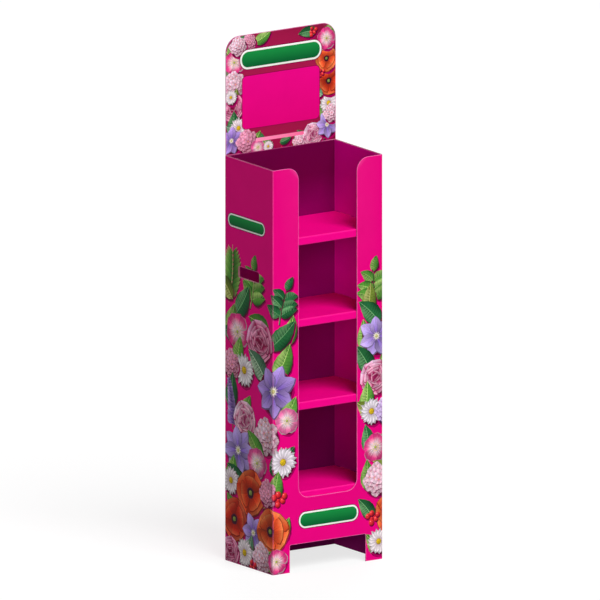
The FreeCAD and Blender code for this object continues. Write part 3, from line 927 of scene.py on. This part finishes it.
# Round the front left fold. Across is counted from the fold, to the left over the side panel and to
# the right over the flange; up is counted from the floor
LEFT_GARDEN = [
    (fern, -232, 800, 74, 178, FRESH, 0.18), (sprig, -120, 800, 70, 118, 74, FRESH, 3, 0.2),
    (leaf, -214, 812, 128, 104, 60, OLIVE), (sprig, 22, 770, 84, 104, 66, DEEP, 3, -0.15),
    (leaf, -196, 770, 44, 118, 66, DEEP), (leaf, 44, 700, 62, 96, 54, FRESH),
    (leaf, -20, 740, 152, 112, 66, FRESH), (leaf, -246, 704, 56, 104, 58, FRESH),
    (leaf, -14, 700, 28, 118, 66, DEEP), (leaf, -160, 690, 158, 110, 64, DEEP),
    (dog_rose, -188, 716, 58), (rose, -70, 706, 66), (leaf, -206, 600, 62, 110, 62, FRESH),
    (leaf, 6, 600, 52, 118, 68, FRESH), (leaf, -36, 590, 128, 124, 70, GREY),
    (daisy, -152, 604, 54, *CREAM_WHITE), (posy, -222, 610, 42, *ROSE_PINK), (clematis, 0, 566, 82),
    (leaf, -232, 476, 70, 112, 64, DEEP), (leaf, -186, 440, 44, 112, 62, FRESH),
    (spike, -212, 410, 92, 150, 62), (rose, -150, 452, 56, (206, 66, 128), (255, 206, 224)),
    (leaf, 20, 446, 46, 112, 64, FRESH), (dog_rose, 50, 470, 42, (255, 226, 234), (230, 110, 164)),
    (posy, -36, 420, 54, *PALE_PINK), (leaf, -60, 330, 118, 118, 68, FRESH),
    (leaf, -18, 318, 26, 118, 66, DEEP), (clematis, -184, 352, 78, *DUSK_BLUE, 8),
    (daisy, 36, 344, 50, *COOL_WHITE), (dog_rose, -84, 330, 50, *WILD_PINK),
    (leaf, -236, 230, 64, 108, 62, FRESH), (leaf, -152, 226, 130, 118, 68, DEEP),
    (leaf, -14, 214, 62, 108, 60, FRESH), (leaf, -40, 200, 140, 118, 66, OLIVE),
    (daisy, -222, 252, 46, (214, 120, 170), (255, 240, 246)), (poppy, -118, 232, 70),
    (posy, -30, 246, 40, *ROSE_PINK), (berries, 24, 232, 26, 7), (leaf, -180, 110, 112, 118, 66, FRESH),
    (leaf, -232, 70, 66, 104, 60, DEEP), (leaf, -60, 100, 150, 104, 60, DEEP),
    (leaf, 12, 96, 48, 88, 50, FRESH), (poppy, -204, 136, 66, *SCARLET),
    (clematis, -104, 112, 60, *DEEP_BLUE, 6), (poppy, -14, 132, 68, *ORANGE),
    (leaf, -150, 14, 56, 96, 54, GREY), (leaf, -84, 8, 28, 104, 60, FRESH),
    (leaf, -10, 8, 122, 88, 50, FRESH), (daisy, -150, 42, 48), (posy, -62, 42, 44, *PALE_PINK),
    (rose, -226, 34, 46), (dog_rose, 12, 40, 40), (berries, -108, 8, 20, 6),
]
for draw, across, up, *sizes in LEFT_GARDEN:
    draw(wrap_art, LEFT_FOLD + across, up, *sizes)

# Round the front right fold. Across is counted from the fold, to the left over the flange and to the
# right over the side panel
RIGHT_GARDEN = [
    (sprig, -26, 780, 100, 110, 70, FRESH, 3, -0.12), (sprig, 60, 800, 84, 120, 74, DEEP, 3, 0.15),
    (fern, 180, 800, 96, 150, FRESH, -0.16), (leaf, -60, 760, 70, 96, 52, OLIVE),
    (leaf, 110, 800, 120, 110, 62, FRESH), (leaf, 214, 780, 70, 104, 58, OLIVE),
    (leaf, 10, 740, 40, 118, 66, FRESH), (leaf, -10, 730, 126, 104, 60, DEEP), (rose, 130, 752, 64),
    (dog_rose, 214, 716, 50), (leaf, -70, 650, 80, 96, 52, FRESH), (clematis, -22, 690, 66, *DUSK_BLUE),
    (posy, 56, 690, 50, *PALE_PINK), (leaf, -40, 576, 112, 108, 60, DEEP),
    (leaf, -8, 570, 48, 118, 66, FRESH), (leaf, 150, 600, 130, 118, 66, DEEP),
    (daisy, 168, 640, 54, *CREAM_WHITE), (fern, 90, 560, 60, 120, OLIVE, 0.2),
    (rose, -26, 566, 54, (200, 40, 110), (255, 190, 216)), (dog_rose, 60, 580, 52, *WILD_PINK),
    (leaf, 216, 520, 100, 110, 60, FRESH), (leaf, 120, 500, 150, 104, 60, GREY),
    (posy, 214, 552, 46, *ROSE_PINK), (leaf, -66, 450, 74, 104, 54, FRESH),
    (leaf, -24, 430, 128, 96, 54, OLIVE), (leaf, 10, 430, 44, 112, 64, DEEP), (clematis, 120, 480, 78),
    (daisy, -40, 460, 44, *COOL_WHITE), (posy, 20, 456, 46, (140, 84, 184), (222, 196, 242)),
    (leaf, 90, 350, 120, 112, 64, FRESH), (leaf, 196, 380, 70, 110, 62, DEEP),
    (spike, 206, 330, 86, 150, 60), (leaf, -50, 330, 88, 92, 50, DEEP),
    (leaf, -14, 320, 50, 108, 62, FRESH), (rose, 70, 372, 64, *SHELL_PINK), (dog_rose, -26, 348, 44),
    (poppy, 150, 340, 60), (leaf, -60, 220, 78, 92, 50, FRESH), (leaf, 50, 230, 128, 112, 64, OLIVE),
    (leaf, 130, 210, 40, 118, 66, FRESH), (daisy, 216, 250, 48), (posy, -20, 246, 48, *PALE_PINK),
    (clematis, 84, 246, 66, *DUSK_BLUE, 8), (leaf, -34, 130, 120, 84, 48, DEEP),
    (leaf, 0, 120, 50, 104, 60, FRESH), (leaf, 180, 110, 104, 110, 62, DEEP),
    (poppy, 170, 168, 66, *SCARLET), (poppy, 34, 140, 62, *ORANGE),
    (leaf, 100, 40, 120, 104, 60, FRESH), (berries, -34, 132, 24, 7), (posy, 104, 92, 44, *ROSE_PINK),
    (leaf, -10, 16, 118, 84, 48, FRESH), (leaf, 70, 4, 52, 96, 54, DEEP), (daisy, -14, 56, 42),
    (dog_rose, 56, 44, 46), (clematis, 140, 48, 56, *DEEP_BLUE, 6), (poppy, 218, 58, 58),
]
for draw, across, up, *sizes in RIGHT_GARDEN:
    draw(wrap_art, RIGHT_FOLD + across, up, *sizes)

label(wrap_art, front_u(3), 156, 206, 40)
label(wrap_art, LEFT_FOLD - FOLD_LENGTH / 2 - 128 + FOLD - 12.5, 1055, 186, 32, 4.5)

# The left side panel's hand hole, and the front's window and foot arch
ARCH_TOP = 85
WINDOW_SILL = 226
arch_left, arch_right = front_u(-138), front_u(138)
window_left, window_right = front_u(-106), front_u(106)


def opening(left, low, right, high, reach=0):
    """The corners of a hole, taken the other way round, so that the sheet is on the line's left."""
    return [(left, low, reach), (left, high, reach), (right, high, reach), (right, low, reach)]


def hand_hole(middle):
    return opening(middle - 54, 886.5, middle + 54, 919.5, 6)


WRAP_BLANK = [
    (0, 0, 0), (arch_left, 0, 0), (arch_left, ARCH_TOP, 4), (arch_right, ARCH_TOP, 4), (arch_right, 0, 0),
    (WRAP_END, 0, 0), (WRAP_END, BODY_HEIGHT, 0), (window_right, BODY_HEIGHT, 40),
    (window_right, WINDOW_SILL, 36), (window_left, WINDOW_SILL, 36), (window_left, BODY_HEIGHT, 40),
    (0, BODY_HEIGHT, 0),
]
wrap_holes = [hand_hole(BACK_FLAT + FOLD_LENGTH + SIDE_FLAT / 2)]
wrap = make_sheet("printed_wrap", upright(WRAP), WRAP, WRAP_BLANK, wrap_holes, wrap_art,
                  materials=(WRAP_PRINT, BARE_BOARD, CUT_EDGE))
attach(wrap, "root")
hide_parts("outer_shell")

# The liner. The real piece is a plain sheet folded to a U and glued inside the side panels; its
# slots and the board below them carry the shelves' tabs. Its ink changes with height and is darker on
# the middle panel: painted shade and painted light for how light falls in the compartments.

LINER_SIDE = 242.3
LINER_BACK = 385.8
LINER_FRONT = 124.7
LINER = fold_round((196.7, -LINER_FRONT), 90, LINER_SIDE, LINER_BACK, LINER_SIDE)
LINER_END = LINER_SIDE + LINER_BACK + LINER_SIDE + 2 * FOLD_LENGTH
LEVELS = {"top_shelf": 1028, "middle_shelf": 776, "lower_shelf": 520, "base_deck": 244}
SLOT_HALF = 27.8
TABS = (-60, 60)
LINER_HOLES = [hand_hole(LINER_END - LINER_FRONT)]
for level in LEVELS.values():
    for middle in TABS:
        for spot in (LINER_FRONT + middle, LINER_END - LINER_FRONT - middle):
            LINER_HOLES.append(opening(spot - SLOT_HALF, level - BOARD, spot + SLOT_HALF, level + 0.3))
LINER_BLANK = plate(0, 0, LINER_END, BODY_HEIGHT)
liner_painted_shade = []
middle_start = LINER_SIDE + FOLD_LENGTH / 2
middle_end = LINER_END - middle_start
# Painted shade and painted light: the inks are brightest at 850 mm, darker above it and towards the floor,
# and darker on the middle panel than on the sides
SIDE_SHADE_AND_LIGHT_INKS = ((204, 3, 146), (255, 3, 190), (222, 2, 150), (168, 2, 122))
MIDDLE_SHADE_AND_LIGHT_INKS = ((100, 0, 60), (160, 0, 118), (136, 0, 96), (113, 0, 82))
SHADE_STOP_HEIGHTS = (1150, 850, 550, 250)
for left, right, inks in ((-5, middle_start, SIDE_SHADE_AND_LIGHT_INKS), (middle_end, LINER_END + 5, SIDE_SHADE_AND_LIGHT_INKS),
                          (middle_start, middle_end, MIDDLE_SHADE_AND_LIGHT_INKS)):
    paint(liner_painted_shade, cut_line(plate(left, -5, right, BODY_HEIGHT + 5)), (0, SHADE_STOP_HEIGHTS[0]),
          (0, SHADE_STOP_HEIGHTS[-1] - SHADE_STOP_HEIGHTS[0]), *inks, picture=0.0)
shade_stop_lines = [((0, height), (LINER_END, height)) for height in SHADE_STOP_HEIGHTS]
LINER_PRINT_AND_SHADE = printed_board("liner_print_and_painted_shade", 0.3, 0.1)
liner = make_sheet("liner", upright(LINER), LINER, LINER_BLANK, LINER_HOLES, liner_painted_shade,
                   printed_inside=True, creases=shade_stop_lines, materials=(LINER_PRINT_AND_SHADE, BARE_BOARD, CUT_EDGE))
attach(liner, "root")
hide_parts("inner_liner")

# The shelves and the base deck. Each real one is a tray folded from one plain magenta blank: its
# front is rolled under into a beam, its other sides are turned down, and its tabs go in the liner.

FLANGE = 18.2
DECK = 235.2
LIP = 17.4
BEAM_FLOOR = 14.4
BEAM_BACK = 17.9
TRAY = fold_round((118.1, 0.0), 90, FLANGE, DECK, LIP, BEAM_FLOOR, BEAM_BACK)
DECK_START = FLANGE + FOLD_LENGTH
TRAY_END = FLANGE + DECK + LIP + BEAM_FLOOR + BEAM_BACK + 4 * FOLD_LENGTH
SIDE_CREASE = 189.6
FLANGE_END = SIDE_CREASE + FOLD_LENGTH + FLANGE
TAB_END = 196.6


def deck_u(y):
    """Where a point of the deck, y from the stand's middle, lies in the flat blank."""
    return DECK_START + 114.3 - y


def tray_place(level):
    spans = [(u, length, y, z + level - FLANGE - FOLD, angle, bent) for u, length, y, z, angle, bent in TRAY]

    def place(u, v, depth):
        y, z, out_y, out_z = follow(spans, u, depth)
        x = v.copy()
        out_x = np.zeros_like(v)
        on_deck = (u > deck_u(112.4)) & (u < deck_u(-99.8))
        for middle in TABS:
            on_deck &= ~((u > deck_u(middle + 27.6)) & (u < deck_u(middle - 27.6)))
        past = np.abs(v) - SIDE_CREASE
        turned = on_deck & (past > 0)
        sweep = np.clip(past[turned] / FOLD, 0, math.pi / 2)
        side = np.sign(v[turned])
        beyond = np.maximum(past[turned] - FOLD_LENGTH, 0)
        out_x[turned] = side * np.sin(sweep)
        out_z[turned] = np.cos(sweep)
        x[turned] = side * (SIDE_CREASE + np.sin(sweep) * (FOLD - depth[turned]))
        z[turned] = level - FOLD + np.cos(sweep) * (FOLD - depth[turned]) - beyond
        return np.stack([x, y, z], axis=1), np.stack([out_x, out_y, out_z], axis=1)
    return place


half_blank = [(0, SIDE_CREASE), (deck_u(112.3), SIDE_CREASE), (deck_u(112.3), FLANGE_END),
              (deck_u(89.5), FLANGE_END), (deck_u(89.5), SIDE_CREASE), (deck_u(87.5), SIDE_CREASE),
              (deck_u(87.5), TAB_END), (deck_u(32.5), TAB_END), (deck_u(32.5), SIDE_CREASE),
              (deck_u(30.5), SIDE_CREASE), (deck_u(30.5), FLANGE_END), (deck_u(-30.5), FLANGE_END),
              (deck_u(-30.5), SIDE_CREASE), (deck_u(-32.5), SIDE_CREASE), (deck_u(-32.5), TAB_END),
              (deck_u(-87.5), TAB_END), (deck_u(-87.5), SIDE_CREASE), (deck_u(-89.5), SIDE_CREASE),
              (deck_u(-89.5), FLANGE_END), (deck_u(-99.7), FLANGE_END), (deck_u(-99.7), SIDE_CREASE),
              (deck_u(-100.7), SIDE_CREASE), (deck_u(-100.7), 193.4), (TRAY_END, 193.4)]
TRAY_BLANK = [(u, -v, 0) for u, v in half_blank] + [(u, v, 0) for u, v in reversed(half_blank)]
side_creases = []
for start, end in ((112.3, 89.5), (30.5, -30.5), (-89.5, -99.7)):
    for side in (-1, 1):
        for k in range(FOLD_STEPS + 1):
            v = side * (SIDE_CREASE + FOLD_LENGTH * k / FOLD_STEPS)
            side_creases.append(((deck_u(start), v), (deck_u(end), v)))
TRAY_PRINT_AND_LIGHT = printed_board("tray_print_and_painted_light", 0.3, 0.12)
# The ground ink (244, 3, 136) is lighter than the wrap's magenta: painted light that makes up for the shade
# the shelves throw on the decks
for name, level in LEVELS.items():
    tray = make_sheet("folded_" + name, tray_place(level), TRAY, TRAY_BLANK, creases=side_creases,
                      ground=(244, 3, 136), materials=(TRAY_PRINT_AND_LIGHT, BARE_BOARD, CUT_EDGE))
    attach(tray, "root")
    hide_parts(name)

# The header card. The real piece is a flat printed card with round shoulders; its tongue slides
# down between the liner and the back panel.

HEADER_TOP = 1610
TONGUE_END = 1097
HEADER = [(0.0, 400.0, -200.0, 121.7, 0.0, False)]
HEADER_BLANK = [(0, BODY_HEIGHT, 0), (50, BODY_HEIGHT, 0), (50, TONGUE_END, 14), (350, TONGUE_END, 14),
                (350, BODY_HEIGHT, 0), (400, BODY_HEIGHT, 0), (400, HEADER_TOP, 48), (0, HEADER_TOP, 48)]
CRIMSON = (170, 26, 78)
header_art = []
paint(header_art, cut_line(plate(-5, 1240, 405, 1620)), (200, 1440), 260.0,
      (186, 32, 88), (164, 24, 74), (122, 12, 50), picture=0.0)
HEADER_GARDEN = [
    (sprig, 44, 1500, 112, 84, 54, FRESH, 3, 0.2), (leaf, 30, 1560, 40, 70, 40, DEEP),
    (leaf, 84, 1566, 160, 66, 38, OLIVE), (leaf, 12, 1460, 70, 84, 48, DEEP),
    (fern, 22, 1380, 96, 118, FRESH, 0.12), (leaf, 44, 1430, 118, 84, 48, FRESH),
    (dog_rose, 30, 1530, 38), (posy, 30, 1462, 38, *PALE_PINK), (leaf, 8, 1370, 58, 84, 48, OLIVE),
    (leaf, 48, 1350, 122, 84, 48, FRESH), (rose, 24, 1390, 42), (leaf, 20, 1296, 74, 84, 48, DEEP),
    (leaf, 60, 1290, 132, 76, 44, GREY), (daisy, 46, 1326, 34), (clematis, 20, 1290, 44),
    (leaf, 80, 1246, 44, 76, 44, FRESH), (posy, 76, 1280, 36, *ROSE_PINK),
    (leaf, 130, 1240, 80, 60, 34, DEEP), (dog_rose, 116, 1258, 26, *WILD_PINK),
    (leaf, 168, 1240, 118, 52, 30, FRESH), (daisy, 154, 1256, 20), (leaf, 250, 1240, 62, 54, 30, FRESH),
    (berries, 212, 1252, 15, 6), (leaf, 300, 1240, 118, 66, 38, DEEP),
    (posy, 268, 1258, 24, *PALE_PINK), (leaf, 330, 1250, 46, 76, 44, FRESH),
    (rose, 316, 1272, 36, *SHELL_PINK), (leaf, 384, 1290, 112, 84, 48, FRESH),
    (clematis, 368, 1296, 42, *DUSK_BLUE), (leaf, 356, 1340, 62, 84, 48, DEEP),
    (leaf, 392, 1350, 118, 84, 48, OLIVE), (daisy, 374, 1362, 34), (leaf, 360, 1410, 70, 76, 44, FRESH),
    (poppy, 374, 1430, 42), (leaf, 388, 1470, 112, 84, 48, DEEP), (poppy, 366, 1500, 38, *ORANGE),
    (leaf, 350, 1560, 36, 76, 42, FRESH), (leaf, 330, 1590, 172, 66, 36, DEEP),
    (dog_rose, 366, 1562, 34), (berries, 316, 1590, 16, 6), (leaf, 104, 1582, 16, 66, 36, FRESH),
    (leaf, 352, 1390, 152, 60, 34, GREY), (posy, 84, 1586, 25, *ROSE_PINK),
    (posy, 44, 1578, 30, *PALE_PINK), (daisy, 18, 1424, 24), (posy, 382, 1330, 26, *PALE_PINK),
    (berries, 346, 1458, 14, 6), (leaf, 196, 1262, 8, 44, 24, DEEP),
]
for draw, across, up, *sizes in HEADER_GARDEN:
    draw(header_art, across, up, *sizes)
for grow, *inks in ((2.0, (140, 8, 70), (140, 8, 70)), (0.0, (232, 4, 132), (222, 2, 120))):
    panel = plate(60 - grow, 1320 - grow, 340 + grow, 1482 + grow, 14)
    paint(header_art, cut_line(panel), (200, 1482), (0, -162), *inks, picture=0.0)
strip = plate(108, 1276, 284, 1287, 4)
paint(header_art, cut_line(strip), (108, 1280), (176, 0), (255, 150, 190), (250, 110, 160), picture=0.0)
label(header_art, 200, 1533, 284, 48, 6.0)
HEADER_PRINT = printed_board("satin_print_on_header", 0.8, 0.3)
header = make_sheet("printed_header", upright(HEADER), HEADER, HEADER_BLANK, art=header_art,
                    ground=CRIMSON, materials=(HEADER_PRINT, BARE_BOARD, CUT_EDGE))
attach(header, "root")
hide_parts("header_card")

# The pale studio floor. It fills the picture behind the stand and keeps its soft shadow.

floor_mesh = bpy.data.meshes.new("studio_floor")
floor_mesh.from_pydata([(-30, -30, 0), (30, -30, 0), (30, 30, 0), (-30, 30, 0)], [], [(0, 1, 2, 3)])
floor = bpy.data.objects.new("studio_floor", floor_mesh)
bpy.context.scene.collection.objects.link(floor)
floor_finish = bpy.data.materials.new("pale_floor")
floor_finish.use_nodes = True
floor_tree = floor_finish.node_tree
floor_tree.nodes.clear()


def looked_at(tree):
    """1 where the camera sees a surface, itself or in gloss or glass, and 0 where only light does."""
    seen = node(tree, "ShaderNodeLightPath").outputs
    direct = sum_of(tree, "MAXIMUM", seen["Is Camera Ray"], seen["Is Glossy Ray"])
    return sum_of(tree, "MAXIMUM", direct, seen["Is Transmission Ray"])


matt = node(floor_tree, "ShaderNodeBsdfDiffuse", {"Color": (0.26, 0.26, 0.26, 1)})
lift = node(floor_tree, "ShaderNodeEmission", {"Color": (1, 1, 1, 1)})
floor_tree.links.new(sum_of(floor_tree, "MULTIPLY", looked_at(floor_tree), 0.755), lift.inputs["Strength"])
both = node(floor_tree, "ShaderNodeAddShader", {0: matt.outputs[0], 1: lift.outputs[0]})
node(floor_tree, "ShaderNodeOutputMaterial", {"Surface": both.outputs[0]})
floor_mesh.materials.append(floor_finish)

# Soft studio light: a broad lamp high in front, a weaker one level with the shelves, one for the back,
# and a pale room


def broad_lamp(name, energy, spread, towards):
    lamp = bpy.data.lights.new(name, "SUN")
    lamp.energy = energy
    lamp.angle = math.radians(spread)
    lamp_object = bpy.data.objects.new(name, lamp)
    bpy.context.scene.collection.objects.link(lamp_object)
    lamp_object.rotation_euler = Vector(towards).to_track_quat("Z", "Y").to_euler()


broad_lamp("high_lamp", 2.75, 36, (0.0, -0.64, 0.77))
broad_lamp("level_lamp", 1.04, 36, (-0.52, -0.84, 0.14))
broad_lamp("back_lamp", 1.9, 40, (0.62, 0.74, 0.26))

room = bpy.data.worlds.new("pale_room")
room.use_nodes = True
room_tree = room.node_tree
room_tree.nodes.clear()
fill = sum_of(room_tree, "MULTIPLY_ADD", looked_at(room_tree), 0.84, 0.16)
room_light = node(room_tree, "ShaderNodeBackground", {"Color": (1, 1, 1, 1), "Strength": fill})
node(room_tree, "ShaderNodeOutputWorld", {"Surface": room_light.outputs[0]})
bpy.context.scene.world = room

# The camera looks from the left and a little from above, in parallel projection

VIEW_TURN = math.radians(34.4)
VIEW_DROP = math.radians(12.9)
look = Vector((math.sin(VIEW_TURN) * math.cos(VIEW_DROP), math.cos(VIEW_TURN) * math.cos(VIEW_DROP),
               -math.sin(VIEW_DROP)))
right = Vector((math.cos(VIEW_TURN), -math.sin(VIEW_TURN), 0))
above = right.cross(look)
view = bpy.data.cameras.new("view")
view.type = "ORTHO"
view.ortho_scale = 1.803
view.clip_end = 60
camera = bpy.data.objects.new("view", view)
camera.location = right * -0.0112 + above * 0.7792 - look * 5
camera.rotation_euler = look.to_track_quat("-Z", "Y").to_euler()
bpy.context.scene.collection.objects.link(camera)
bpy.context.scene.camera = camera
bpy.context.scene.view_settings.view_transform = "Standard"
